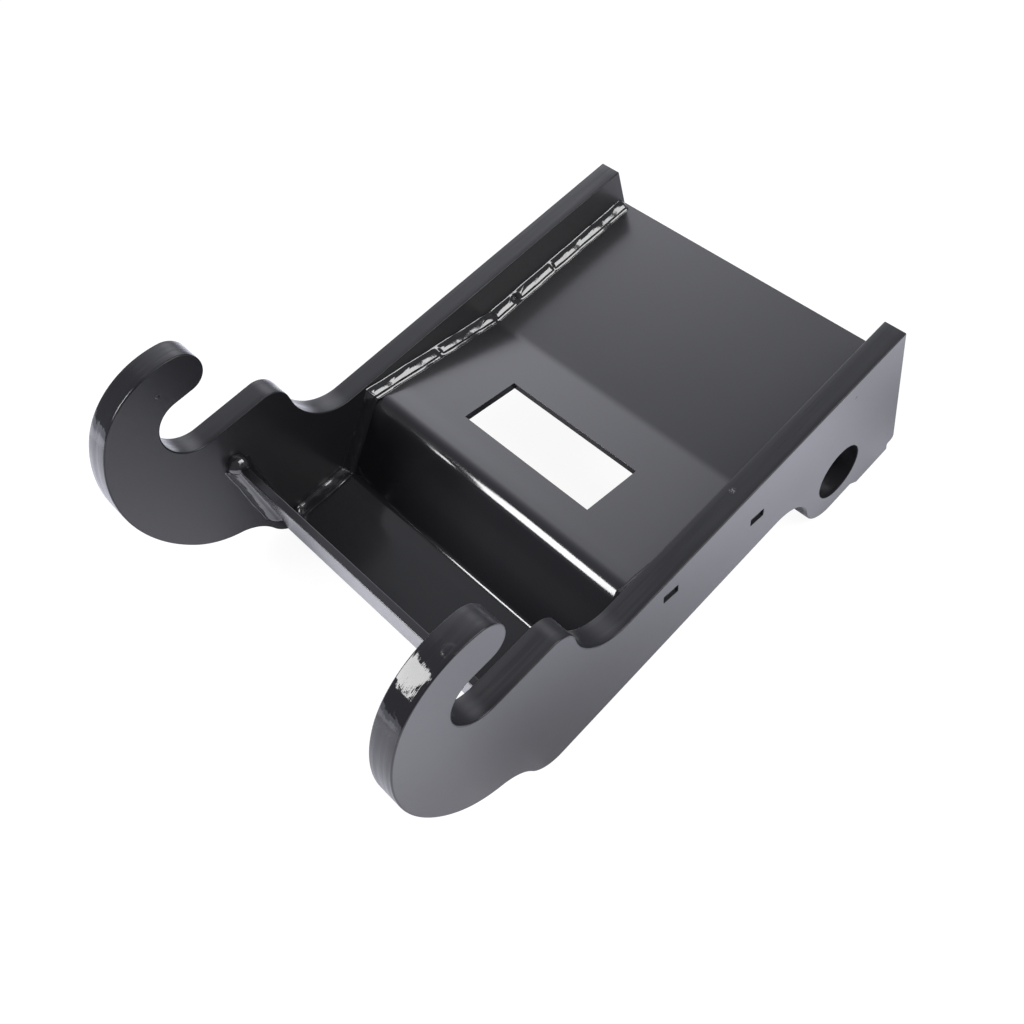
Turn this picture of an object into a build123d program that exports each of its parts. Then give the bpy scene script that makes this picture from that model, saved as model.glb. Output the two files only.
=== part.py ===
from build123d import *
import math
import os

# Quick coupler bracket: two thick flame cut side plates with open hooks, a folded sheet
# tabbed into them, a cross plate between the hooks, and the weld beads that join them.
# Sizes are in millimetres and degrees. Each piece is drawn in the side plate's own frame:
# y runs along the long straight edge, from 0 at the lock end to minus at the hooks, and
# z stands square to that edge, which lies at z = 0. At the end the whole bracket is
# turned onto its heels and feet and stands with its origin at the bottom centre.

# Plates
overall_width = 320.0
side_thickness = 20.0
sheet_thickness = 6.0
cross_thickness = 6.0
edge_break = 0.8

# Hook mouth, with a full round seat for the carrier's cross shaft
seat_radius = 23.0
seat_y = -408.0
seat_z = 82.0

# Hook outline, a run of tangent arcs from the tip over the crown and down the back
tip_reach = 14.5
tip_radius = 15.6
tip_angle = 167.8
crown_radius = 71.4
crown_angle = 64.5
back_radius = 101.7
back_angle = 73.4
belly_radius = 65.7
belly_angle = 33.4
neck_radius = 35.0
heel_radius = 25.0

# Nose below the mouth, and its hollow root in the long edge
nose_y = -344.0
nose_radius = 15.0
nose_root_radius = 38.0

# Underside, and the rounded foot with its land
underside_z = -73.9
notch_radius = 36.6
foot_radius = 31.4
foot_y = -88.0
foot_z = -138.0
land_height = 7.5
land_from = -52.0
land_to = -9.0
land_ramp = 9.0
toe_radius = 5.0

# Lock pin bore in the foot
bore_radius = 25.0
bore_y = -77.9
bore_z = -97.2

# Folded sheet, by the corners of its top face: rear deck, sloped deck, web and floor
deck_z = -35.15
deck_bend_y = -166.0
ridge_y = -290.0
ridge_rise = 24.8
valley_y = -339.0
floor_z = -61.0
bend_radius = 7.0

# Window and tabs in the sloped deck, by their distance from its lower bend
window_width = 135.0
window_length = 51.0
window_start = 40.4
lower_tab_centre = 10.0
upper_tab_centre = 102.4
tab_length = 13.0
tab_recess = 2.0
tab_clearance = 0.75

# Cross plate
cross_face_y = -405.5
cross_top_z = 26.0

# Weld beads
side_bead_leg = 8.0
cross_bead_leg = 9.0
floor_bead_leg = 7.0
bead_bulge = 1.0
bead_root = 2.0
bead_end_inset = 3.0
front_bead_start_z = -50.0

# Values that follow from the sizes above
inner_half = overall_width / 2 - side_thickness
mouth_low_z = seat_z - seat_radius
mouth_high_z = seat_z + seat_radius
cross_back_y = cross_face_y + cross_thickness
slope = math.atan2(ridge_rise, deck_bend_y - ridge_y)
tab_centres = (lower_tab_centre, upper_tab_centre)


def hook_outline():
    """Tip, crown, back, belly, neck and heel, where the last two turn just enough to end level."""
    tip = JernArc((seat_y + tip_reach, mouth_high_z), (1, 0), tip_radius, tip_angle)
    crown = JernArc(tip @ 1, tip % 1, crown_radius, crown_angle)
    back = JernArc(crown @ 1, crown % 1, back_radius, back_angle)
    belly = JernArc(back @ 1, back % 1, belly_radius, belly_angle)
    turned = tip_angle + crown_angle + back_angle + belly_angle
    drop = (belly @ 1).Y - underside_z
    level = neck_radius * math.cos(math.radians(turned)) + heel_radius - drop
    heel_angle = math.degrees(math.acos(level / (neck_radius + heel_radius)))
    neck = JernArc(belly @ 1, belly % 1, neck_radius, 360 - heel_angle - turned)
    heel = JernArc(neck @ 1, neck % 1, heel_radius, heel_angle)
    return [tip, crown, back, belly, neck, heel]


def foot_outline():
    """The notch and the foot, two tangent arcs that swing down to the foot's flat."""
    reach = notch_radius + foot_radius
    swing = math.acos(1 - (underside_z - foot_z) / reach)
    start = (foot_y - reach * math.sin(swing), underside_z)
    notch = JernArc(start, (1, 0), notch_radius, -math.degrees(swing))
    foot = JernArc(notch @ 1, notch % 1, foot_radius, math.degrees(swing))
    return [notch, foot]


def rounded(face, place, radius):
    """Rounds the corner of a flat outline that lies nearest to a place."""
    nearest = face.vertices().sort_by_distance((place[0], place[1], 0))[0]
    return fillet(nearest, radius)


def side_outline():
    """The side plate drawn flat, with y to the right and z up."""
    hook = hook_outline()
    foot = foot_outline()
    land_z = foot_z - land_height
    toe = (0, foot_z)
    nose_root = (nose_y, 0)
    nose_top = (nose_y, mouth_low_z)
    seat = ThreePointArc((seat_y, mouth_low_z), (seat_y - seat_radius, seat_z), (seat_y, mouth_high_z))
    underside = Line(hook[-1] @ 1, foot[0] @ 0)
    upper = Polyline(
        foot[-1] @ 1,
        (land_from - land_ramp, foot_z),
        (land_from, land_z),
        (land_to, land_z),
        (land_to, foot_z),
        toe,
        (0, 0),
        nose_root,
        nose_top,
        (seat_y, mouth_low_z),
    )
    mouth_top = Line((seat_y, mouth_high_z), (seat_y + tip_reach, mouth_high_z))
    face = make_face(Curve() + [*hook, underside, *foot, upper, seat, mouth_top])
    face = rounded(face, toe, toe_radius)
    face = rounded(face, nose_root, nose_root_radius)
    return rounded(face, nose_top, nose_radius)


def on_sloped_deck(distance, depth):
    """A point on the sloped deck, by its distance from the lower bend and its depth in the sheet."""
    y = deck_bend_y - distance * math.cos(slope) - depth * math.sin(slope)
    z = deck_z + distance * math.sin(slope) - depth * math.cos(slope)
    return y, z


def side_plate():
    """The right hand side plate with its lock bore and tab slots."""
    outline = side_outline()
    outline -= Pos(bore_y, bore_z) * Circle(bore_radius)
    slot = Rectangle(tab_length + 2 * tab_clearance, sheet_thickness + 2 * tab_clearance)
    for distance in tab_centres:
        y, z = on_sloped_deck(distance, sheet_thickness / 2)
        outline -= Pos(y, z) * Rot(0, 0, -math.degrees(slope)) * slot
    plate = extrude(Plane.YZ * outline, side_thickness)
    rims = [edge for face in plate.faces().filter_by(Axis.X) for edge in face.outer_wire().edges()]
    return Pos(inner_half, 0, 0) * chamfer(rims, edge_break)


def sheet_corners():
    """Corners of the folded sheet's top face, from the cross plate to the lock end."""
    return [
        (cross_back_y, floor_z),
        (valley_y, floor_z),
        (ridge_y, deck_z + ridge_rise),
        (deck_bend_y, deck_z),
        (0, deck_z),
    ]


def heading(start, end):
    return math.atan2(end[1] - start[1], end[0] - start[0])


def normals(corners):
    """At each corner of a run, the step that keeps a unit distance to the left of both its sides."""
    sides = [heading(start, end) for start, end in zip(corners, corners[1:])]
    steps = []
    for before, after in zip([sides[0]] + sides, sides + [sides[-1]]):
        turn = math.remainder(after - before, math.tau)
        middle = before + turn / 2
        reach = 1 / math.cos(turn / 2)
        steps.append((-reach * math.sin(middle), reach * math.cos(middle)))
    return steps


def shifted(corners, distance):
    """A run of corners moved sideways, to the left of its travel."""
    return [
        (y + distance * step_y, z + distance * step_z)
        for (y, z), (step_y, step_z) in zip(corners, normals(corners))
    ]


def folded_sheet():
    """The sheet with round bends, its window, and the tabs that enter the side plates."""
    outer_radius = bend_radius + sheet_thickness
    top_corners = sheet_corners()
    low_corners = shifted(top_corners, -sheet_thickness)
    top = FilletPolyline(*top_corners, radius=[bend_radius, outer_radius, bend_radius])
    low = FilletPolyline(*low_corners, radius=[outer_radius, bend_radius, outer_radius])
    ends = [Line(top @ 0, low @ 0), Line(top @ 1, low @ 1)]
    section = make_face(Curve() + [top, low, *ends])
    sheet = extrude(Plane.YZ * section, inner_half, both=True)
    tilt = Rot(-math.degrees(slope), 0, 0)
    for distance in tab_centres:
        y, z = on_sloped_deck(distance, sheet_thickness / 2)
        reach = overall_width - 2 * tab_recess
        sheet += Pos(0, y, z) * tilt * Box(reach, tab_length, sheet_thickness)
    y, z = on_sloped_deck(window_start + window_length / 2, sheet_thickness / 2)
    sheet -= Pos(0, y, z) * tilt * Box(window_width, window_length, 2 * sheet_thickness)
    return sheet


def cross_plate():
    """The plate across the front of the floor, level with the floor's underside."""
    bottom_z = floor_z - sheet_thickness
    plate = Box(2 * inner_half, cross_thickness, cross_top_z - bottom_z)
    return Pos(0, cross_face_y + cross_thickness / 2, (cross_top_z + bottom_z) / 2) * plate


def bead_run():
    """The corners that the beads follow: up the cross plate, over it, down and along the sheet."""
    floor_corner, valley, ridge, bend, deck_end = sheet_corners()
    return [
        (cross_face_y, front_bead_start_z),
        (cross_face_y, cross_top_z),
        (cross_back_y, cross_top_z),
        floor_corner,
        valley,
        ridge,
        bend,
        (deck_end[0] - bead_end_inset, deck_end[1]),
    ]


def bead_section(leg):
    """A fillet bead's section with a bulging face, its root sunk so that it can be cut to fit."""
    middle = leg / 2 + bead_bulge
    edges = [
        Line((leg, 0), (leg, -bead_root)),
        Line((leg, -bead_root), (0, -bead_root)),
        Line((0, -bead_root), (0, leg)),
        ThreePointArc((0, leg), (middle, middle), (leg, 0)),
    ]
    return make_face(Curve() + edges)


def side_bead(index, leg, carrier):
    """One bead of the run, in the corner with the right side plate, mitred to its neighbours."""
    corners = bead_run()
    steps = normals(corners)
    start, end = corners[index], corners[index + 1]
    travel = Vector(0, end[0] - start[0], end[1] - start[1])
    overrun = 2 * leg
    first = Vector(inner_half, *start) - travel.normalized() * overrun
    along = Plane(first, x_dir=(-1, 0, 0), z_dir=travel)
    bar = extrude(along * bead_section(leg), travel.length + 2 * overrun)
    reach = leg + bead_bulge
    mitre = [
        (corner[0] + distance * step[0], corner[1] + distance * step[1])
        for corner, step, distance in (
            (start, steps[index], -bead_root),
            (end, steps[index + 1], -bead_root),
            (end, steps[index + 1], reach),
            (start, steps[index], reach),
        )
    ]
    slab = extrude(Plane.YZ * make_face(Polyline(*mitre, close=True)), inner_half)
    bead = bar & slab
    for piece in carrier:
        bead -= piece
    return bead


def floor_bead(others, carrier):
    """The bead between the floor and the cross plate, from one side bead to the other."""
    along = Plane((-inner_half, cross_back_y, floor_z), x_dir=(0, 1, 0), z_dir=(1, 0, 0))
    bead = extrude(along * bead_section(floor_bead_leg), 2 * inner_half)
    for piece in others + carrier:
        bead -= piece
    return bead


def bracket():
    """Every piece of the bracket in the side plate's frame, by name."""
    sheet = folded_sheet()
    plate = cross_plate()
    right = side_plate()
    pieces = {
        "side_plate_left": mirror(right, Plane.YZ),
        "side_plate_right": right,
        "folded_deck_plate": sheet,
        "front_cross_plate": plate,
    }
    beads = (
        ("cross_front_weld", cross_bead_leg),
        ("cross_top_weld", cross_bead_leg),
        ("cross_rear_weld", side_bead_leg),
        ("floor_side_weld", side_bead_leg),
        ("web_weld", side_bead_leg),
        ("sloped_deck_weld", side_bead_leg),
        ("rear_deck_weld", side_bead_leg),
    )
    for index, (name, leg) in enumerate(beads):
        bead = side_bead(index, leg, [sheet, plate])
        pieces[name + "_left"] = mirror(bead, Plane.YZ)
        pieces[name + "_right"] = bead
    neighbours = [
        piece for name, piece in pieces.items() if name.startswith(("cross_rear_weld", "floor_side_weld"))
    ]
    pieces["floor_cross_weld"] = floor_bead(neighbours, [sheet, plate])
    return pieces


def rest_turn():
    """The turn that lays the bracket level on its heels and on its feet or their lands."""
    heel = tuple(hook_outline()[-1].arc_center)[:2]
    foot = tuple(foot_outline()[-1].arc_center)[:2]
    land = (land_from, foot_z - land_height)
    on_foot = math.asin((foot_radius - heel_radius) / math.dist(heel, foot)) - heading(heel, foot)
    on_land = -math.asin(heel_radius / math.dist(heel, land)) - heading(heel, land)
    return math.degrees(max(on_foot, on_land))


def rest_place(plate):
    """Turns the bracket to its rest and puts the origin at the bottom centre of its box."""
    turn = Rot(rest_turn(), 0, 0)
    box = (turn * plate).bounding_box()
    return Pos(0, -box.center().Y, -box.min.Z) * turn


def main():
    os.makedirs("parts", exist_ok=True)
    pieces = bracket()
    place = rest_place(pieces["side_plate_right"])
    for name, piece in pieces.items():
        export_step(place * piece, f"parts/{name}.step")


main()
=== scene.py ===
import math

import bpy
import numpy as np
from mathutils import Euler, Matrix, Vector
from mathutils.geometry import tessellate_polygon


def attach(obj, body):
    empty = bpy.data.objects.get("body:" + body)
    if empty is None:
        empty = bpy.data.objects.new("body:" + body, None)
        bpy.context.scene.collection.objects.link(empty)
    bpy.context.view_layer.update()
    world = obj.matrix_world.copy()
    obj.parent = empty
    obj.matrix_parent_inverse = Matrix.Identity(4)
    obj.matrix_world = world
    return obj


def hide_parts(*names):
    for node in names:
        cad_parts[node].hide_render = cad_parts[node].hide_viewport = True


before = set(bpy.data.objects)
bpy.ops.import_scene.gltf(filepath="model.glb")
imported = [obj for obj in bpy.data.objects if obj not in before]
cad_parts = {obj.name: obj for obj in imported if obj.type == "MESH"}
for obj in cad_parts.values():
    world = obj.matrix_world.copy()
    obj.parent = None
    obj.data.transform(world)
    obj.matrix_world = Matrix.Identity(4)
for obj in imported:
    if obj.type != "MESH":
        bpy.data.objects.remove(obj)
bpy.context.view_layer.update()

# Side plates: two 20 mm steel plates, flame cut to one outline with the hook, the nose and the foot,
# blasted and powder coated black. The coat lies smooth on the rolled faces. Round the hooks it is
# thick and wet looking, and follows the waves of the cut, so the lamps break up into patches there.

plate_outer_x = 160.0
plate_inner_x = 140.0
rim_round = 1.0
rest_turn = math.radians(12.0307)
rest_shift = (0.0, 228.359, 154.001)

seat_radius = 23.0
seat = (-408.0, 82.0)
tip_start = (-393.5, 105.0)
hook_arcs = ((15.6, 167.8), (71.4, 64.5), (101.7, 73.4), (65.7, 33.4))
neck_radius = 35.0
heel_radius = 25.0
underside_z = -73.9
notch_radius = 36.6
foot_radius = 31.4
foot = (-88.0, -138.0)
foot_corners = ((-61.0, -138.0), (-52.0, -145.5), (-9.0, -145.5), (-9.0, -138.0))
toe_radius = 5.0
cut_radius = 1.2
nose_root = (-344.0, 0.0)
nose_root_radius = 38.0
nose_top = (-344.0, 59.0)
nose_radius = 15.0
bore = (-77.9, -97.2)
bore_radius = 25.0
slot_length = 14.5
slot_height = 7.5
slot_distances = (10.0, 102.4)


class Torch:
    """Walks along an outline in millimetres and keeps each place that it passes and its heading there."""

    def __init__(self, start, heading):
        self.at = np.array(start, float)
        self.heading = heading
        self.places = [self.at[None]]
        self.headings = [np.array([heading])]

    def straight(self, length, spacing=8.0, stops=()):
        """A straight run. Its places are spaced evenly, or lie at the given distances along it."""
        even = np.linspace(0, length, max(int(length / spacing), 1) + 1)[1:]
        steps = np.array(stops) if len(stops) else even
        along = np.array([math.cos(self.heading), math.sin(self.heading)])
        self.places.append(self.at + steps[:, None] * along)
        self.headings.append(np.full(len(steps), self.heading))
        self.at = self.at + length * along

    def bend(self, radius, turn, spacing=1.4):
        """An arc to the left, or to the right where the turn is negative: its centre lies square to the
        heading, and each place is the centre plus the radius turned by an even share of the turn."""
        side = math.copysign(1.0, turn)
        count = max(int(abs(turn) * radius / spacing), 6)
        bearings = self.heading + turn * np.linspace(0, 1, count + 1)[1:]
        centre = self.at + side * radius * np.array([-math.sin(self.heading), math.cos(self.heading)])
        arc = centre + side * radius * np.column_stack([np.sin(bearings), -np.cos(bearings)])
        self.places.append(arc)
        self.headings.append(bearings)
        self.at = arc[-1]
        self.heading = bearings[-1]

    def round_corner(self, corner, after, radius, stops=()):
        """Straight towards a corner, then round it by an arc that ends heading for the place after it."""
        corner, after = np.array(corner, float), np.array(after, float)
        self.heading = math.atan2(corner[1] - self.at[1], corner[0] - self.at[0])
        turn = math.atan2(after[1] - corner[1], after[0] - corner[0]) - self.heading
        turn = math.remainder(turn, math.tau)
        self.straight(math.dist(self.at, corner) - radius * math.tan(abs(turn) / 2), stops=stops)
        self.bend(radius, turn, 0.5 if radius < 10 else 1.4)

    def outline(self):
        return np.concatenate(self.places), np.concatenate(self.headings)


def side_outline():
    """The plate's edge, walked with the steel on the left, from the hook's tip back to the tip."""
    torch = Torch(tip_start, 0.0)
    for radius, turn in hook_arcs:
        torch.bend(radius, math.radians(turn))
    level = neck_radius * math.cos(torch.heading) + heel_radius - (torch.at[1] - underside_z)
    heel_turn = math.acos(level / (neck_radius + heel_radius))
    torch.bend(neck_radius, math.tau - heel_turn - torch.heading)
    torch.bend(heel_radius, heel_turn)
    torch.heading = 0.0
    swing = math.acos(1 - (underside_z - foot[1]) / (notch_radius + foot_radius))
    notch_start = foot[0] - (notch_radius + foot_radius) * math.sin(swing)
    torch.straight(notch_start - torch.at[0])
    torch.bend(notch_radius, -swing)
    torch.bend(foot_radius, swing)
    corners = [*foot_corners, (0.0, foot[1]), (0.0, 0.0), nose_root, nose_top, (seat[0], nose_top[1])]
    radii = [cut_radius] * len(foot_corners) + [toe_radius, cut_radius, nose_root_radius, nose_radius]
    for corner, after, radius in zip(corners, corners[1:], radii):
        torch.round_corner(corner, after, radius)
    torch.straight(torch.at[0] - seat[0])
    torch.bend(seat_radius, -math.pi)
    torch.straight(tip_start[0] - seat[0])
    places, headings = torch.outline()
    return places[:-1], headings[:-1]


def bore_outline():
    torch = Torch((bore[0], bore[1] + bore_radius), 0.0)
    torch.bend(bore_radius, -math.tau)
    places, headings = torch.outline()
    return places[:-1], headings[:-1]


def slot_outline(distance):
    """The slot round a tab of the sloped deck, which lies at a distance from the deck's lower bend."""
    slope = math.atan2(24.8, 124.0)
    y = -166.0 - distance * math.cos(slope) - 3.0 * math.sin(slope)
    z = -35.15 + distance * math.sin(slope) - 3.0 * math.cos(slope)
    long = np.array([math.cos(slope), -math.sin(slope)]) * slot_length / 2
    high = np.array([math.sin(slope), math.cos(slope)]) * slot_height / 2
    middle = np.array([y, z])
    corners = [middle + long + high, middle + long - high, middle - long - high, middle - long + high]
    torch = Torch(middle + high, -slope)
    for corner, after in zip(corners, corners[1:] + corners[:1]):
        torch.round_corner(corner, after, 0.8)
    return torch.outline()


def at_rest(places):
    """Turns places in the plate's frame, in millimetres, to the resting bracket, in metres."""
    x, y, z = np.asarray(places, float).T
    turned_y = y * math.cos(rest_turn) - z * math.sin(rest_turn)
    turned_z = z * math.cos(rest_turn) + y * math.sin(rest_turn)
    return (np.column_stack([x, turned_y, turned_z]) + rest_shift) / 1000


def grid_faces(rows, columns, wrap=False):
    """Four-sided faces between the places of a grid, whose last row joins its first where it wraps."""
    row = np.arange(rows if wrap else rows - 1)[:, None]
    column = np.arange(columns - 1)[None]
    after = (row + 1) % rows
    here, beside = row * columns + column, after * columns + column
    return np.stack([here, beside, beside + 1, here + 1], axis=-1).reshape(-1, 4)


def outward(places, faces):
    """Turns all faces of a closed shape outwards: the sum of the wedges under them is its volume."""
    first, second, third = (places[[face[k] for face in faces]] for k in range(3))
    wedges = np.einsum("ij,ij->i", first, np.cross(second, third)).sum()
    fourth = [face for face in faces if len(face) == 4]
    first, second, third = (places[[face[k] for face in fourth]] for k in (0, 2, 3))
    wedges += np.einsum("ij,ij->i", first, np.cross(second, third)).sum()
    return faces if wedges > 0 else [face[::-1] for face in faces]


def make_piece(name, places, faces, materials, nodes, flat=0, flat_coat=0):
    """A piece from places in millimetres, whose last faces are flat and take the next material."""
    mesh = bpy.data.meshes.new(name)
    mesh.from_pydata(at_rest(places), [], faces)
    for material in materials:
        mesh.materials.append(material)
    smooth = np.ones(len(faces), bool)
    which = np.zeros(len(faces), np.int32)
    if flat:
        smooth[-flat:] = False
        which[-flat:] = flat_coat
    mesh.polygons.foreach_set("use_smooth", smooth)
    mesh.polygons.foreach_set("material_index", which)
    mesh.validate()
    mesh.update()
    piece = bpy.data.objects.new(name, mesh)
    bpy.context.scene.collection.objects.link(piece)
    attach(piece, "root")
    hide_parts(*nodes)
    return piece


def rim(places, headings, rounding):
    """The cut edge through the plate: at each place of the outline a profile runs from face to face,
    a quarter round, the straight cut, and a quarter round, set in square to the outline."""
    outwards = np.column_stack([np.sin(headings), -np.cos(headings)])
    quarter = np.linspace(0, math.pi / 2, 5)
    across = np.concatenate([
        plate_inner_x + rounding * (1 - np.cos(quarter)),
        np.linspace(plate_inner_x + rounding, plate_outer_x - rounding, 5)[1:-1],
        plate_outer_x - rounding * (1 - np.cos(quarter[::-1])),
    ])
    set_in = rounding * (1 - np.sin(quarter))
    inset = np.concatenate([set_in, np.zeros(3), set_in[::-1]])
    flat = places[:, None] - inset[None, :, None] * outwards[:, None]
    depth = np.broadcast_to(across[None, :, None], flat.shape[:2] + (1,))
    return np.concatenate([depth, flat], axis=2)


def plate_shape():
    """Places and faces of the right hand plate: the rims of its outline and holes, then its two faces."""
    cuts = [(*side_outline(), rim_round), (*bore_outline(), 0.5)]
    cuts += [(*slot_outline(distance), 0.4) for distance in slot_distances]
    places, faces, inner, outer = [], [], [], []
    count = 0
    for outline, headings, rounding in cuts:
        grid = rim(outline, headings, rounding)
        rows, columns = grid.shape[:2]
        faces += (grid_faces(rows, columns, wrap=True) + count).tolist()
        inner.append(count + np.arange(rows) * columns)
        outer.append(count + np.arange(rows) * columns + columns - 1)
        places.append(grid.reshape(-1, 3))
        count += rows * columns
    places = np.concatenate(places)
    flat = 0
    for loops, forward in ((outer, True), (inner, False)):
        index = np.concatenate(loops)
        drawn = [[Vector((*places[i, 1:], 0)) for i in loop] for loop in loops]
        corners = np.array(tessellate_polygon(drawn))
        triangles = index[corners]
        y, z = places[triangles, 1], places[triangles, 2]
        area = (y[:, 1] - y[:, 0]) * (z[:, 2] - z[:, 0]) - (y[:, 2] - y[:, 0]) * (z[:, 1] - z[:, 0])
        triangles = np.where(((area > 0) == forward)[:, None], triangles, triangles[:, ::-1])
        faces += triangles[np.abs(area) > 1e-9].tolist()
        flat += int((np.abs(area) > 1e-9).sum())
    return places, faces, flat


class Finish:
    """One socket in a material's node tree. Arithmetic on it adds Math nodes to that tree."""

    def __init__(self, tree, socket=None):
        self.tree = tree
        self.socket = socket

    def node(self, kind, settings=None, inputs=None, out=0):
        """Adds a node of a kind, sets its settings first, then fills or links its inputs."""
        made = self.tree.nodes.new(kind)
        for name, value in (settings or {}).items():
            setattr(made, name, value)
        for name, value in (inputs or {}).items():
            if isinstance(value, Finish):
                self.tree.links.new(value.socket, made.inputs[name])
            else:
                made.inputs[name].default_value = value
        return Finish(self.tree, made.outputs[out]) if made.outputs else None

    def math(self, operation, first, second=0.0):
        return self.node("ShaderNodeMath", {"operation": operation}, {0: first, 1: second})

    def __add__(self, other):
        return self.math("ADD", self, other)

    def __radd__(self, other):
        return self.math("ADD", other, self)

    def __sub__(self, other):
        return self.math("SUBTRACT", self, other)

    def __rsub__(self, other):
        return self.math("SUBTRACT", other, self)

    def __mul__(self, other):
        return self.math("MULTIPLY", self, other)

    def __rmul__(self, other):
        return self.math("MULTIPLY", other, self)

    def between(self, low, high):
        """Rises smoothly from 0 to 1 as the value goes from low to high."""
        settings = {"interpolation_type": "SMOOTHSTEP"}
        return self.node("ShaderNodeMapRange", settings, {"Value": self, "From Min": low, "From Max": high})

    def tones(self, dark, light):
        """A colour between two colours."""
        ends = {"Factor": self, 6: (*dark, 1.0), 7: (*light, 1.0)}
        return self.node("ShaderNodeMix", {"data_type": "RGBA"}, ends, out=2)


def new_material(name):
    material = bpy.data.materials.new(name)
    material.use_nodes = True
    material.node_tree.nodes.clear()
    return material, Finish(material.node_tree)


def grain(start, place, scale, detail=2.0, roughness=0.5, stretch=(1.0, 1.0, 1.0)):
    """Noise around 0.5 with features of about 1 / scale metres, drawn out where stretch is below 1."""
    drawn = start.node("ShaderNodeMapping", inputs={"Vector": place, "Scale": stretch})
    inputs = {"Vector": drawn, "Scale": scale, "Detail": detail, "Roughness": roughness}
    return start.node("ShaderNodeTexNoise", inputs=inputs, out="Fac")


def coat(start, colour, roughness, height, density=1.6):
    """Ends a material as black powder coat. The height is the coat's own relief, in metres, and the
    density bends and mirrors light."""
    normal = start.node("ShaderNodeBump", inputs={"Strength": 1.0, "Distance": 1.0, "Height": height})
    inputs = {"Base Color": colour, "Roughness": roughness, "Normal": normal, "IOR": density}
    shader = start.node("ShaderNodeBsdfPrincipled", inputs=inputs)
    start.node("ShaderNodeOutputMaterial", inputs={"Surface": shader})


dark_coat = (0.012, 0.012, 0.014)
light_coat = (0.019, 0.019, 0.022)
edge_density = 1.41


def spot(start, place, at, size):
    """A soft round spot, which is 1 within half of its size from a place and 0 beyond its size."""
    distance = start.node("ShaderNodeVectorMath", {"operation": "DISTANCE"}, {0: place, 1: at}, "Value")
    return 1 - distance.between(size / 2, size)


def face_coat():
    """Satin coat on the plates' rolled faces, with fine orange peel, faint clouds and two specks."""
    material, start = new_material("plate_face_coat")
    place = start.node("ShaderNodeTexCoord", out="Object")
    clouds = grain(start, place, 9.0, 3.0, 0.55)
    specks = spot(start, place, (-0.14, -0.201, 0.184), 0.0016)
    specks = specks + spot(start, place, (0.16, 0.173, 0.125), 0.0018)
    orange_peel = grain(start, place, 420.0, 2.0, 0.4) * 0.00002
    height = orange_peel + grain(start, place, 45.0) * 0.00006 + specks * 0.0005
    coat(start, clouds.tones(dark_coat, light_coat), 0.28 + clouds * 0.08, height)
    return material


def edge_coat():
    """Coat on the cut edges: satin and streaked along the cut, but thick, wavy and wet on the back of
    the hooks, where a run of paint has dried as a small lump. One place on the right edge is scuffed."""
    material, start = new_material("plate_edge_coat")
    place = start.node("ShaderNodeTexCoord", out="Object")
    lengthwise = start.node("ShaderNodeSeparateXYZ", inputs={"Vector": place}, out="Y")
    upwards = start.node("ShaderNodeSeparateXYZ", inputs={"Vector": place}, out="Z")
    waves = grain(start, place, 130.0, 2.0, 0.5)
    broad = grain(start, place, 38.0, 2.0, 0.5)
    wet = (1 - (lengthwise + broad * 0.01).between(-0.207, -0.193)) * upwards.between(0.166, 0.174)
    streaks = grain(start, place, 420.0, 3.0, 0.6, (1.0, 0.03, 0.03)).between(0.35, 0.65)
    clouds = grain(start, place, 12.0, 3.0, 0.6)
    run = spot(start, place, (0.1555, -0.2, 0.2035), 0.005)
    scuff = spot(start, place, (0.147, 0.047, 0.115), 0.003) * grain(start, place, 900.0).between(0.45, 0.6)
    scuffed = {"Factor": scuff, 6: clouds.tones(dark_coat, light_coat), 7: (0.14, 0.14, 0.14, 1.0)}
    colour = start.node("ShaderNodeMix", {"data_type": "RGBA"}, scuffed, out=2)
    height = wet * (waves * 0.00024 + broad * 0.0003) + broad * 0.00008 + streaks * 0.00002 + run * 0.00025
    roughness = 0.24 + clouds * 0.08 + streaks * 0.12 - wet * 0.3
    coat(start, colour, roughness, height, edge_density)
    return material


plate_materials = [edge_coat(), face_coat()]
plate_places, plate_faces, plate_flat = plate_shape()
for word, side in (("right", 1), ("left", -1)):
    sided = plate_places * (side, 1, 1)
    closed = outward(sided, plate_faces)
    nodes = ["side_plate_" + word]
    make_piece(word + "_side_plate", sided, closed, plate_materials, nodes, plate_flat, 1)

# Folded deck plate: one sheet of 6 mm steel, laser cut with its window and tabs, then folded on a
# press into rear deck, sloped deck, web and floor. The coat is even and satin, and the cut edges
# are softly rounded under it.

sheet_thickness = 6.0
inner_bend = 7.0
shallow_bend = 34.0
outer_bend = 18.0
sheet_corners = ((-399.5, -61.0), (-339.0, -61.0), (-290.0, -10.35), (-166.0, -35.15), (0.0, -35.15))
window_from, window_to = 40.4, 91.4
window_half = 67.5
tab_half = 6.5
tab_reach = 158.0


def folded_rows():
    """The sheet's top face from the cross plate to the lock end, with a row at each cut in its slope."""
    torch = Torch(sheet_corners[0], 0.0)
    torch.round_corner(sheet_corners[1], sheet_corners[2], inner_bend)
    torch.round_corner(sheet_corners[2], sheet_corners[3], outer_bend)
    slope_left = math.dist(torch.at, sheet_corners[3])
    lower, upper = slot_distances
    cuts = (upper + tab_half, upper - tab_half, window_to, window_from, lower + tab_half, lower - tab_half)
    turn = math.atan2(24.8, 124.0)
    stops = [slope_left - cut for cut in cuts] + [slope_left - shallow_bend * math.tan(turn / 2)]
    torch.round_corner(sheet_corners[3], sheet_corners[4], shallow_bend, stops)
    torch.heading = 0.0
    torch.straight(-torch.at[0])
    return torch.outline()


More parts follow.
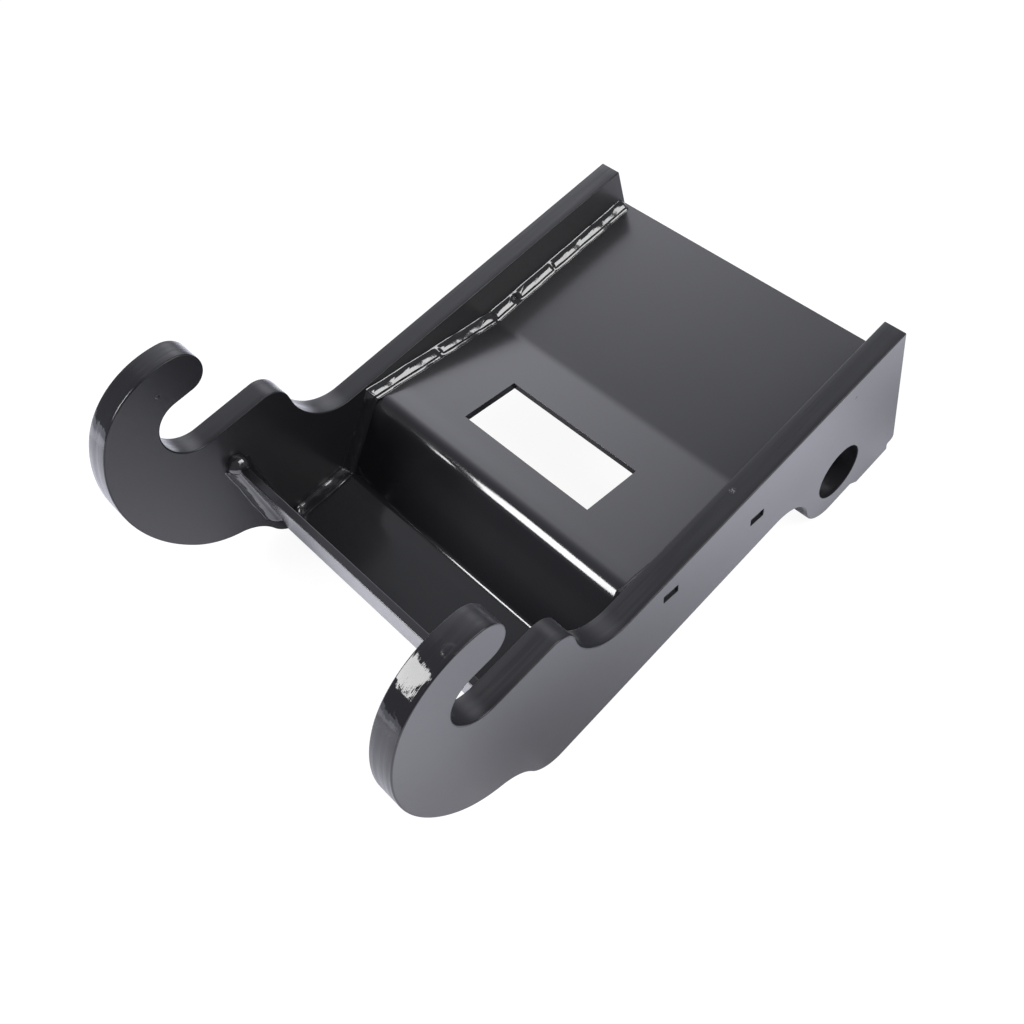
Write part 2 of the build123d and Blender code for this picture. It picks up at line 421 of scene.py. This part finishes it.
def cut_sheet(top, low, solid):
    """A sheet between two grids of places, made only where its cells are solid: each solid cell gets
    a top and a low face, and a wall wherever the next cell is empty."""
    rows, columns = solid.shape
    index = np.arange((rows + 1) * (columns + 1)).reshape(rows + 1, columns + 1)
    under = index + index.size
    padded = np.pad(solid, 1)
    faces = []
    r, c = np.nonzero(solid)
    faces.append([index[r, c], index[r, c + 1], index[r + 1, c + 1], index[r + 1, c]])
    faces.append([under[r, c], under[r + 1, c], under[r + 1, c + 1], under[r, c + 1]])
    r, c = np.nonzero(solid & ~padded[2:, 1:-1])
    faces.append([index[r + 1, c], index[r + 1, c + 1], under[r + 1, c + 1], under[r + 1, c]])
    r, c = np.nonzero(solid & ~padded[:-2, 1:-1])
    faces.append([index[r, c + 1], index[r, c], under[r, c], under[r, c + 1]])
    r, c = np.nonzero(solid & ~padded[1:-1, 2:])
    faces.append([index[r + 1, c + 1], index[r, c + 1], under[r, c + 1], under[r + 1, c + 1]])
    r, c = np.nonzero(solid & ~padded[1:-1, :-2])
    faces.append([index[r, c], index[r + 1, c], under[r + 1, c], under[r, c]])
    faces = np.concatenate([np.array(group).T for group in faces])
    places = np.concatenate([top.reshape(-1, 3), low.reshape(-1, 3)])
    used, faces = np.unique(faces, return_inverse=True)
    return places[used], faces.reshape(-1, 4).tolist()


def sheet_shape():
    """The folded rows spread across the bracket, less the window and plus the tabs."""
    rows, headings = folded_rows()
    outwards = np.column_stack([np.sin(headings), -np.cos(headings)])
    across = np.array([-tab_reach, -plate_inner_x, -window_half, window_half, plate_inner_x, tab_reach])
    solid = np.zeros((len(rows) - 1, len(across) - 1), bool)
    solid[:, 1:4] = True
    bend = np.array(sheet_corners[3])
    middles = (rows[1:] + rows[:-1]) / 2
    distance = np.hypot(*(middles - bend).T)
    sloped = (middles[:, 0] < bend[0] - 1) & (middles[:, 0] > sheet_corners[2][0])
    solid[sloped & (distance > window_from) & (distance < window_to), 2] = False
    for tab in slot_distances:
        for side in (0, 4):
            solid[sloped & (np.abs(distance - tab) < tab_half), side] = True
    spread = np.broadcast_to(across[None, :, None], (len(rows), len(across), 1))
    top = np.concatenate([spread, np.broadcast_to(rows[:, None], (*spread.shape[:2], 2))], axis=2)
    below = rows + sheet_thickness * outwards
    low = np.concatenate([spread, np.broadcast_to(below[:, None], (*spread.shape[:2], 2))], axis=2)
    return cut_sheet(top, low, solid)


def soften(piece, width):
    """Rounds the cut edges, and keeps the flat faces flat."""
    bevel = piece.modifiers.new("cut_edges", "BEVEL")
    bevel.width = width
    bevel.segments = 3
    bevel.limit_method = "ANGLE"
    bevel.angle_limit = math.radians(40)
    bevel.harden_normals = True


def sheet_coat():
    """Even satin coat on rolled sheet, with very fine orange peel and faint clouds. The press has
    smoothed the two sharp folds, so the coat shines more there."""
    material, start = new_material("sheet_coat")
    place = start.node("ShaderNodeTexCoord", out="Object")
    clouds = grain(start, place, 7.0, 3.0, 0.55)
    no_width = {0: place, 1: (0.0, 1.0, 1.0)}
    in_section = start.node("ShaderNodeVectorMath", {"operation": "MULTIPLY"}, no_width, "Vector")
    folds = spot(start, in_section, (0.0, -0.053, 0.083), 0.03)
    folds = folds + spot(start, in_section, (0.0, -0.0905, 0.024), 0.03)
    height = grain(start, place, 520.0, 2.0, 0.4) * 0.000012
    coat(start, clouds.tones(dark_coat, light_coat), 0.19 + clouds * 0.06 - folds * 0.1, height)
    return material


sheet_material = sheet_coat()
sheet_places, sheet_faces = sheet_shape()
sheet_faces = outward(sheet_places, sheet_faces)
nodes = ["folded_deck_plate"]
sheet = make_piece("deck_sheet", sheet_places, sheet_faces, [sheet_material], nodes)
soften(sheet, 0.0004)

# Front cross plate: a strip of the same 6 mm sheet, laser cut, set upright before the floor's end
# and welded all round. Same satin coat.

cross_front_y = -405.5
cross_back_y = -399.5
cross_top_z = 26.0
cross_low_z = -67.0


def cross_shape():
    """A flat grid of its back face and one of its front face, skinned as a sheet without holes."""
    across = np.linspace(-plate_inner_x, plate_inner_x, 9)
    heights = np.linspace(cross_low_z, cross_top_z, 5)
    x, z = np.meshgrid(across, heights)
    back = np.stack([x, np.full_like(x, cross_back_y), z], axis=2)
    front = np.stack([x, np.full_like(x, cross_front_y), z], axis=2)
    return cut_sheet(back, front, np.ones((len(heights) - 1, len(across) - 1), bool))


cross_places, cross_faces = cross_shape()
cross_faces = outward(cross_places, cross_faces)
nodes = ["front_cross_plate"]
cross = make_piece("cross_strip", cross_places, cross_faces, [sheet_material], nodes)
soften(cross, 0.0006)

# Side welds: arc welded fillet beads in the corner between the sheet and each side plate, laid in
# long slanting tongues that overlap, with a crater where a run stops. The coat is thick and glossy
# over them and pools at their toes.

bead_path = (
    (-405.5, -50.0), (-405.5, 28.0), (-399.5, 28.0), (-399.5, -61.0),
    (-339.0, -61.0), (-290.0, -10.35), (-166.0, -35.15), (-2.0, -35.15),
)
section_walk = (0.0, 1.6, 2.1, 3.0, 3.5, 8.0, 8.8, 9.4, 9.9)
section_slopes = (26.0, 40.0, 58.0, 58.0, 38.0, 34.0, 29.0, 36.0, 80.0)
section_leg = 7.5
end_fade = 2.5
lump_reach = 6.0
root_depth = 0.3
chance = np.random.default_rng(11)


def bead_section(leg, bearings, steeper):
    """Distance of a bead's face from its corner line at the given bearings. The face is walked from
    the sheet to the plate by its slope: a toe where paint pools, a steep flank, a broad crown. All
    its slopes can be steeper by some degrees, up to nearly upright."""
    walk = np.linspace(0, section_walk[-1], 240)
    slope = np.radians(np.minimum(np.interp(walk, section_walk, section_slopes) + steeper, 85))
    x = section_leg - np.concatenate([[0], np.cumsum(np.cos(slope[1:]) * np.diff(walk))])
    z = np.concatenate([[0], np.cumsum(np.sin(slope[1:]) * np.diff(walk))])
    return np.interp(bearings, np.arctan2(z, x), np.hypot(x, z)) * leg / section_leg


def bead_steps(corners, index, square):
    """At each end of a bead, the step that lifts a place off the sheet by a unit. It leans to the
    mitre with the next bead, or stands square to the bead where that end is square."""
    sides = np.diff(corners, axis=0)
    turns = np.arctan2(sides[:, 1], sides[:, 0])
    steps = []
    for other, plain in zip((index - 1, index + 1), square):
        turn = 0.0
        if not plain and 0 <= other < len(turns):
            turn = math.remainder(turns[other] - turns[index], math.tau)
        middle = turns[index] + turn / 2
        steps.append(np.array([-math.sin(middle), math.cos(middle)]) / math.cos(turn / 2))
    return steps


def tongues(along, lift, length, strength, pitch):
    """Relief of a bead, in millimetres: long caps that slant over it, of which the highest shows.
    A cap falls from its middle by the squares of its distances along the bead and over it."""
    relief = np.full(np.broadcast_shapes(along.shape, lift.shape), -0.6 * strength)
    middles = np.arange(-0.3, length / pitch + 0.8) * pitch
    for middle in middles + chance.uniform(-0.2, 0.2, len(middles)) * pitch:
        half = pitch * chance.uniform(0.9, 1.3)
        slant = chance.uniform(0.012, 0.032)
        level = chance.uniform(0.5, 0.66)
        width = chance.uniform(0.42, 0.55)
        bent = np.sin(along / pitch * chance.uniform(5, 9) + chance.uniform(0, math.tau))
        off = (along - middle) / half
        rise = (lift - level - slant * (along - middle) + 0.015 * bent) / width
        relief = np.maximum(relief, strength * (chance.uniform(0.8, 1.15) - off ** 2 - rise ** 2))
    sway = np.sin(along * math.tau / 23 + chance.uniform(0, math.tau))
    sway = sway * np.sin(lift * 4 + chance.uniform(0, 3))
    return relief + 0.1 * strength * sway


def side_bead(
    name, index, leg, side, strength, pitch=14.0, stops=(), square=(False, False),
    round_ends=(0, 0), swell=(0.0, 0.0), steeper=0.0, spacing=0.45,
):
    """One bead: round the corner line a radius swings from the sheet to the plate. It is the section's
    distance at each bearing, widened and narrowed by two slanting waves, raised by the tongues,
    lowered at stops and rounded off at open ends."""
    corners = np.array(bead_path)
    start, end = corners[index], corners[index + 1]
    steps = bead_steps(corners, index, square)
    length = math.dist(start, end)
    along = np.linspace(0, length, int(length / spacing) + 1)[:, None]
    share = along / length
    angle = np.concatenate([np.linspace(-2.5, 16, 24), np.linspace(18, 78, 40), np.linspace(81, 92, 8)])
    angle = np.radians(angle)[None]
    lift = angle / (math.pi / 2)
    inside = np.sin(np.clip(angle * 2, 0, math.pi)) ** 1.5
    ends = np.clip(np.minimum(along, length - along) / end_fade, 0, 1)
    ends = ends * ends * (3 - 2 * ends)
    wander = 0.032 * np.sin(along * math.tau / 39 + 1.5 * lift + chance.uniform(0, math.tau))
    wander = wander + 0.009 * np.sin(along * math.tau / 16 + 5 * lift + chance.uniform(0, math.tau))
    face = bead_section(leg, angle, steeper) * (1 + ends * wander)
    waves = tongues(along, lift, length, strength, pitch)
    for place, width, depth in stops:
        gap = np.exp(-(((start[0] + share * (end[0] - start[0]) - place) / width) ** 2))
        waves = waves - depth * gap
    radius = face + inside * ends * waves
    for from_end, reach, lump in zip((along, length - along), round_ends, swell):
        radius = radius + lump * inside * np.exp(-((from_end / lump_reach) ** 2))
        if reach:
            radius = radius * np.sqrt(np.clip(1 - (1 - np.clip(from_end / reach, 0, 1)) ** 2, 0, 1))
    height = (radius * np.sin(angle))[..., None]
    share = share[..., None]
    fixed = (1 - share) * (start + height * steps[0]) + share * (end + height * steps[1])
    grid = np.concatenate([(plate_inner_x - radius * np.cos(angle))[..., None], fixed], axis=2)
    root = np.full((len(along), 1, 1), plate_inner_x + root_depth)
    root = np.concatenate([root, grid[:, :1, 1:]], axis=2)
    grid = np.concatenate([root, grid, root], axis=1) * (side, 1, 1)
    close_bead(name, grid, [name])


def close_bead(name, grid, nodes):
    """Skins a bead and closes its two ends with a face on its root."""
    rows, columns = grid.shape[:2]
    faces = grid_faces(rows, columns).tolist()
    faces.append(list(range(columns - 1)))
    faces.append([(rows - 1) * columns + k for k in reversed(range(columns - 1))])
    places = grid.reshape(-1, 3)
    make_piece(name + "_bead", places, outward(places, faces), [weld_material], nodes)


def corner_lump(name, middle, radii, side):
    """The knob of weld over the cross plate's corner: a ball whose radius is swelled by a few waves
    round it and over it, and closed at both poles."""
    over = np.linspace(0, math.pi, 49)[:, None]
    about = np.linspace(0, math.tau, 97)[:-1][None]
    waves = 0.07 * np.sin(3 * about + 1.0) + 0.05 * np.cos(4 * over + 2 * about)
    waves = waves + 0.02 * np.sin(7 * about - 3 * over)
    swell = 1 + waves * np.sin(over) ** 2
    x = middle[0] + radii[0] * swell * np.sin(over) * np.cos(about)
    y = middle[1] + radii[1] * swell * np.sin(over) * np.sin(about)
    z = middle[2] + radii[2] * swell * np.cos(over) * np.ones_like(about)
    rows, columns = x.shape
    places = np.stack([x, y, z], axis=2).reshape(-1, 3)[columns - 1:1 - columns] * (side, 1, 1)
    ring = np.arange(columns)
    after = (ring + 1) % columns
    first = 1 + np.arange(rows - 3)[:, None] * columns
    second = first + columns
    quads = np.stack([first + ring, first + after, second + after, second + ring], axis=-1)
    last = len(places) - 1
    top = np.column_stack([np.zeros_like(ring), 1 + after, 1 + ring])
    low = np.column_stack([np.full_like(ring, last), last - columns + ring, last - columns + after])
    faces = quads.reshape(-1, 4).tolist() + top.tolist() + low.tolist()
    make_piece(name + "_bead", places, outward(places, faces), [weld_material], [name])


def weld_coat():
    """Thick glossy coat that has run over the bead's tongues, denser than on the plates."""
    material, start = new_material("weld_coat")
    place = start.node("ShaderNodeTexCoord", out="Object")
    clouds = grain(start, place, 60.0, 3.0, 0.6)
    height = grain(start, place, 170.0, 2.0, 0.5) * 0.00012 + grain(start, place, 900.0) * 0.00001
    coat(start, clouds.tones(dark_coat, light_coat), 0.08 + clouds * 0.08, height, weld_density)
    return material


weld_density = 1.85
weld_material = weld_coat()
far_stops = ((-140.0, 3.0, 3.2), (-96.0, 1.6, 1.0), (-224.0, 2.0, 1.2))
near_stops = ((-120.0, 3.0, 3.0), (-60.0, 1.8, 1.2), (-236.0, 2.4, 1.2))
knob_middle = (137.5, -403.0, 28.0)
knob_radii = (8.5, 8.5, 7.5)
for word, side, stops, deck_leg in (("left", -1, far_stops, 8.8), ("right", 1, near_stops, 7.4)):
    side_bead("cross_front_weld_" + word, 0, 10.2, side, 0.15, square=(True, True), round_ends=(10.0, 3.0))
    corner_lump("cross_top_weld_" + word, knob_middle, knob_radii, side)
    open_top = {"square": (True, False), "round_ends": (4.0, 0), "swell": (0.0, 2.2)}
    side_bead("cross_rear_weld_" + word, 2, 8.0, side, 0.5, **open_top)
    side_bead("floor_side_weld_" + word, 3, 7.2, side, 0.2, swell=(2.8, 0.0), steeper=22.0)
    side_bead("web_weld_" + word, 4, 8.0, side, 0.35)
    side_bead("sloped_deck_weld_" + word, 5, deck_leg, side, 0.48, 18.0, stops)
    side_bead("rear_deck_weld_" + word, 6, deck_leg, side, 0.44, 17.0, stops, round_ends=(0, 4.0))

# Floor weld: a plain bead along the corner between the floor and the back of the cross plate, laid
# after the side welds and ending on them.

floor_bead_inset = 6.0


def floor_bead(leg=7.0, spacing=0.7):
    """A bead across the bracket: a radius swings from the floor to the cross plate at each step."""
    half = plate_inner_x - floor_bead_inset
    along = np.linspace(-half, half, int(2 * plate_inner_x / spacing))[:, None]
    angle = np.radians(np.linspace(-2.5, 92, 44))[None]
    chord = leg / (0.94 * np.cos(angle) + 1.14 * np.sin(np.clip(angle, 0, None)))
    inside = np.clip(np.sin(np.clip(angle * 2, 0, math.pi)), 0, None) ** 0.45
    waves = tongues(along + plate_inner_x, angle / (math.pi / 2), 2 * plate_inner_x, 0.5, 14.0)
    radius = chord + inside * (0.6 + waves)
    y = cross_back_y + radius * np.cos(angle)
    z = sheet_corners[0][1] + radius * np.sin(angle)
    grid = np.stack([np.broadcast_to(along, y.shape), y, z], axis=2)
    root = grid[:, :1] * (1, 0, 0) + (0, cross_back_y - root_depth, sheet_corners[0][1] - root_depth)
    close_bead("floor_cross_weld", np.concatenate([root, grid, root], axis=1), ["floor_cross_weld"])


floor_bead()

# Studio: a white table under the object, a small bright lamp at the front left, another at the right,
# and a dim room with a large soft window at the back left. The camera stands as in the photograph.


def softbox(name, azimuth, elevation, wide, high, glow, distance=1.6):
    """A flat white lamp of even glow that faces the object. Its bearing is taken from +Y to +X, and its
    width and height are angles, all in degrees. Its glow is the brightness that a mirror would show."""
    data = bpy.data.lights.new(name, "AREA")
    data.shape = "RECTANGLE"
    data.size = 2 * distance * math.tan(math.radians(wide / 2))
    data.size_y = 2 * distance * math.tan(math.radians(high / 2))
    data.energy = glow * math.pi * data.size * data.size_y
    lamp = bpy.data.objects.new(name, data)
    bearing = math.radians(azimuth)
    lift = math.radians(elevation)
    level = math.cos(lift)
    toward = Vector((math.sin(bearing) * level, math.cos(bearing) * level, math.sin(lift)))
    lamp.location = Vector((0.0, 0.0, 0.08)) + toward * distance
    lamp.rotation_euler = toward.to_track_quat("Z", "Y").to_euler()
    bpy.context.scene.collection.objects.link(lamp)


softbox("front_lamp", azimuth=-149.0, elevation=34.0, wide=19.0, high=24.0, glow=19.0)
softbox("right_lamp", azimuth=72.0, elevation=48.0, wide=32.0, high=33.0, glow=6.4)


def table_top():
    """A white table: the camera sees it evenly white with a faint shadow. Gloss sees it lit, plus a
    painted glow that is brighter in front, at the far end and out at the sides, and painted shade
    that takes this glow away under the object."""
    material, start = new_material("table_white")
    seen = start.node("ShaderNodeLightPath", out="Is Camera Ray")
    gloss = start.node("ShaderNodeLightPath", out="Is Glossy Ray")
    through = start.node("ShaderNodeLightPath", out="Is Transmission Ray")
    lit = start.node("ShaderNodeBsdfDiffuse", inputs={"Color": (0.84, 0.84, 0.9, 1.0)})
    shade = start.node("ShaderNodeBsdfDiffuse", inputs={"Color": (0.12, 0.12, 0.12, 1.0)})
    bright = start.node("ShaderNodeEmission", inputs={"Color": (1.0, 1.0, 1.0, 1.0), "Strength": 0.93})
    place = start.node("ShaderNodeTexCoord", out="Object")
    lengthwise = start.node("ShaderNodeSeparateXYZ", inputs={"Vector": place}, out="Y")
    sideways = start.node("ShaderNodeSeparateXYZ", inputs={"Vector": place}, out="X")
    sideways = start.math("ABSOLUTE", sideways)
    # Painted shade: this mask takes the glow that gloss sees away under the object.
    under = lengthwise.between(-0.15, -0.11) * (1 - lengthwise.between(0.22, 0.27))
    under = (1 - sideways.between(0.13, 0.18)) * under
    # Painted light: these masks raise the glow that gloss sees beside, in front of and out at the sides of
    # the object.
    beside = lengthwise.between(-0.15, 0.15) * (1 - lengthwise.between(0.19, 0.33))
    before = (1 - lengthwise.between(-0.165, -0.13)) * (1 - sideways.between(0.1, 0.17))
    glow = (1 - under) * (0.12 + sideways.between(0.19, 0.27) * 1.15 + beside * 0.85) + before * 0.32
    cool = {0: (0.86, 0.87, 1.0), "Scale": glow}
    tint = start.node("ShaderNodeVectorMath", {"operation": "SCALE"}, cool, "Vector")
    # Painted reflection: an emission of the painted glow, seen only by glossy and transmission rays.
    painted_floor_glow = start.node("ShaderNodeEmission", inputs={"Color": tint, "Strength": 1.0})
    for_camera = start.node("ShaderNodeAddShader", inputs={0: shade, 1: bright})
    for_gloss = start.node("ShaderNodeAddShader", inputs={0: lit, 1: painted_floor_glow})
    mirrored = start.math("MAXIMUM", gloss, through)
    shader = start.node("ShaderNodeMixShader", inputs={0: mirrored, 1: lit, 2: for_gloss})
    shader = start.node("ShaderNodeMixShader", inputs={0: seen, 1: shader, 2: for_camera})
    start.node("ShaderNodeOutputMaterial", inputs={"Surface": shader})
    return material


table_half = 6.0
table = bpy.data.meshes.new("table_top")
table_corners = [(-table_half, -table_half, 0), (table_half, -table_half, 0)]
table_corners += [(table_half, table_half, 0), (-table_half, table_half, 0)]
table.from_pydata(table_corners, [], [(0, 1, 2, 3)])
table.materials.append(table_top())
table_object = bpy.data.objects.new("table_top", table)
bpy.context.scene.collection.objects.link(table_object)

world = bpy.data.worlds.new("studio")
world.use_nodes = True
world.node_tree.nodes.clear()
air = Finish(world.node_tree)
seen = air.node("ShaderNodeLightPath", out="Is Camera Ray")
bearing = air.node("ShaderNodeTexCoord", out="Object")
window = (-0.663, 0.464, 0.588)
window_glow = 3.1
window_edge = 6.8
room_glow = 0.21
off = air.node("ShaderNodeVectorMath", {"operation": "SUBTRACT"}, {0: bearing, 1: window}, "Vector")
off = air.node("ShaderNodeVectorMath", {"operation": "MULTIPLY"}, {0: off, 1: (1.0, 1.0, 1.05)}, "Vector")
off = air.node("ShaderNodeVectorMath", {"operation": "LENGTH"}, {0: off}, "Value")
daylight = room_glow + window_glow * air.math("EXPONENT", off * off * -window_edge)
cool = {0: (0.91, 0.92, 1.0), "Scale": daylight}
tint = air.node("ShaderNodeVectorMath", {"operation": "SCALE"}, cool, "Vector")
room = air.node("ShaderNodeBackground", inputs={"Color": tint, "Strength": 1.0})
white = air.node("ShaderNodeBackground", inputs={"Color": (1.0, 1.0, 1.0, 1.0), "Strength": 1.0})
room = air.node("ShaderNodeMixShader", inputs={0: seen, 1: room, 2: white})
air.node("ShaderNodeOutputWorld", inputs={"Surface": room})
bpy.context.scene.world = world

camera_data = bpy.data.cameras.new("camera")
camera_data.sensor_width = 36.0
camera_data.lens = 36.71
camera_data.shift_x = -0.1394
camera_data.shift_y = -0.0062
camera_data.clip_start = 0.01
camera = bpy.data.objects.new("camera", camera_data)
camera.location = (0.42135, -0.34249, 0.66906)
camera.rotation_euler = Euler((math.radians(39.541), math.radians(-1.156), math.radians(43.054)))
bpy.context.scene.collection.objects.link(camera)
bpy.context.scene.camera = camera
bpy.context.scene.view_settings.view_transform = "Standard"
